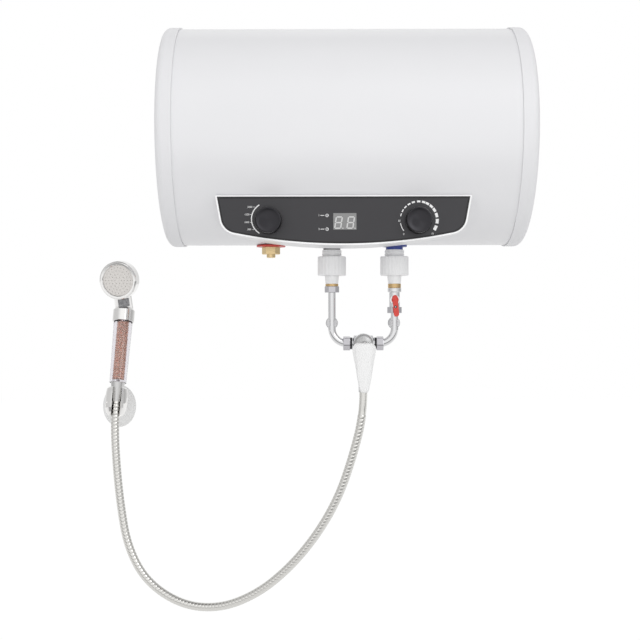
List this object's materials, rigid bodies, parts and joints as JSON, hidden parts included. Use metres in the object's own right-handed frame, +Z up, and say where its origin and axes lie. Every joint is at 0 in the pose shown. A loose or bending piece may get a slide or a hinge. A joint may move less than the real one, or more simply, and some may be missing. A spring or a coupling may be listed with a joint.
{
  "type": "storage water heater",
  "caption": "Horizontal wall-hung electric storage water heater with control panel, unions, lever mixer, ribbed hose and a hand shower in its wall holder.",
  "frame": {"origin": "middle of the two wall bolt holes, in the plane of the wall", "axes": "+X to the viewer's right, +Y into the wall, +Z up"},
  "size_m": [0.7076, 0.3572, 0.9415],
  "materials": {
    "white_enamel": "smooth gloss enamel",
    "white_moulding": "satin moulding",
    "insulation": "rigid foam",
    "enamelled_tank": "vitreous enamel",
    "zinc_steel": "zinc plated",
    "black_rubber": "matt",
    "magnesium": "rough cast",
    "element_sheath": "drawn copper",
    "seal": "matt",
    "copper": "drawn",
    "control_black": "matt",
    "panel_white": "gloss",
    "fascia_grey": "gloss",
    "window_grey": "gloss",
    "board_green": "solder mask",
    "lamp_clear": "clear",
    "knob_black": "spun gloss",
    "red_ring": "satin",
    "black_ring": "matt",
    "blue_ring": "satin",
    "brass": "machined",
    "union_white": "gloss",
    "chrome": "mirror",
    "plated_moulding": "chrome plated moulding",
    "clip_grey": "satin",
    "valve_red": "gloss enamel",
    "ceramic": "matt",
    "handle_white": "gloss",
    "hose_steel": "bright steel strip",
    "clear_tube": "clear",
    "bead_red": "unglazed beads",
    "plate_beige": "satin",
    "base_white": "gloss"
  },
  "bodies": {
    "heater": {"shell": "white_enamel", "left_cap": "white_moulding", "right_cap": "white_moulding", "foam_jacket": "insulation", "inner_tank": "enamelled_tank", "hanger_brackets": "zinc_steel", "wall_spacers": "black_rubber", "flange_gasket": "seal", "heater_flange": "zinc_steel", "flange_bolts": "zinc_steel", "heating_element": "element_sheath", "anode_rod": "magnesium", "thermostat_bulb": "copper", "thermal_cutout": "control_black", "wiring_loom": "black_rubber", "cable_gland": "control_black", "outlet_tube": "zinc_steel", "inlet_tube": "zinc_steel", "panel_housing": "panel_white", "fascia": "fascia_grey", "display_window": "window_grey", "display_board": "board_green", "indicator_lenses": "lamp_clear", "power_switch": "control_black", "thermostat_body": "control_black", "drain_ring": "red_ring", "drain_plug": "brass", "hot_ring": "black_ring", "cold_ring": "blue_ring", "union_necks": "union_white", "union_nuts": "union_white", "union_tails": "union_white", "brass_nipples": "brass", "pipe_nuts": "chrome", "hot_pipe": "chrome", "cold_pipe": "chrome", "pipe_clips": "clip_grey", "valve_body": "chrome", "mixer_body": "chrome", "mixer_cartridge": "ceramic", "mixer_bonnet": "chrome", "hose_nut": "chrome", "shower_hose": "hose_steel", "holder_base": "base_white", "holder_fork": "plated_moulding"},
    "power_dial": {"power_knob": "knob_black", "power_shaft": "zinc_steel"},
    "temperature_dial": {"temperature_knob": "knob_black", "thermostat_shaft": "zinc_steel"},
    "valve_handle": {"valve_lever": "valve_red", "valve_ball": "chrome"},
    "mixer_swivel": {"mixer_spindle": "brass"},
    "mixer_handle": {"mixer_lever": "handle_white"},
    "hand_shower": {"shower_head": "plated_moulding", "face_ring": "plated_moulding", "spray_plate": "plate_beige", "handle_tube": "clear_tube", "filter_beads": "bead_red", "hose_cone": "plated_moulding"}
  },
  "joints": [
    {"name": "power_knob_turn", "type": "hinge", "parent": "heater", "child": "power_dial", "pos_m": [-0.1156, -0.322, -0.2332], "axis": [0, -1, 0], "range_deg": [0, 120]},
    {"name": "temperature_knob_turn", "type": "hinge", "parent": "heater", "child": "temperature_dial", "pos_m": [0.106, -0.322, -0.2332], "axis": [0, -1, 0], "range_deg": [0, 265]},
    {"name": "valve_lever_turn", "type": "hinge", "parent": "heater", "child": "valve_handle", "pos_m": [0.0792, -0.205, -0.3479], "axis": [0, -1, 0], "range_deg": [-4.5, 85.5]},
    {"name": "mixer_swing", "type": "hinge", "parent": "heater", "child": "mixer_swivel", "pos_m": [0.0292, -0.221, -0.4171], "axis": [0, -1, 0], "range_deg": [-45, 45]},
    {"name": "mixer_lift", "type": "hinge", "parent": "mixer_swivel", "child": "mixer_handle", "pos_m": [0.0292, -0.221, -0.4171], "axis": [-1, 0, 0], "range_deg": [0, 25]},
    {"name": "hand_shower_lift", "type": "slide", "parent": "heater", "child": "hand_shower", "axis": [0.0436, 0.2417, 0.9694], "range_m": [0, 0.06], "deforming": ["shower_hose"]}
  ]
}
